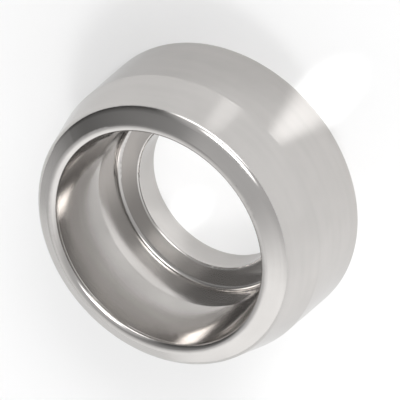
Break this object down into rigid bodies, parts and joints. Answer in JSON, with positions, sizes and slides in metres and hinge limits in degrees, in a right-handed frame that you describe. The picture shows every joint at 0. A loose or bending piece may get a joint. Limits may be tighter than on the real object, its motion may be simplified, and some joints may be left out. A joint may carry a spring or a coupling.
{
  "type": "hose fitting sleeve",
  "caption": "One-piece turned steel sleeve ring for a hose fitting: straight rear, tapered front, rounded mouth, tapered seat, counterbore and rear bore.",
  "frame": {"origin": "centre of the flat rear face, where the bore's axis crosses it", "axes": "+Z along the bore's axis from the rear face towards the mouth; X and Y lie in the rear face"},
  "size_m": [0.038, 0.038, 0.0165],
  "materials": {
    "steel": "fine turned and polished stainless steel, glossy with soft reflections"
  },
  "bodies": {
    "root": {"sleeve": "steel"}
  },
  "joints": []
}
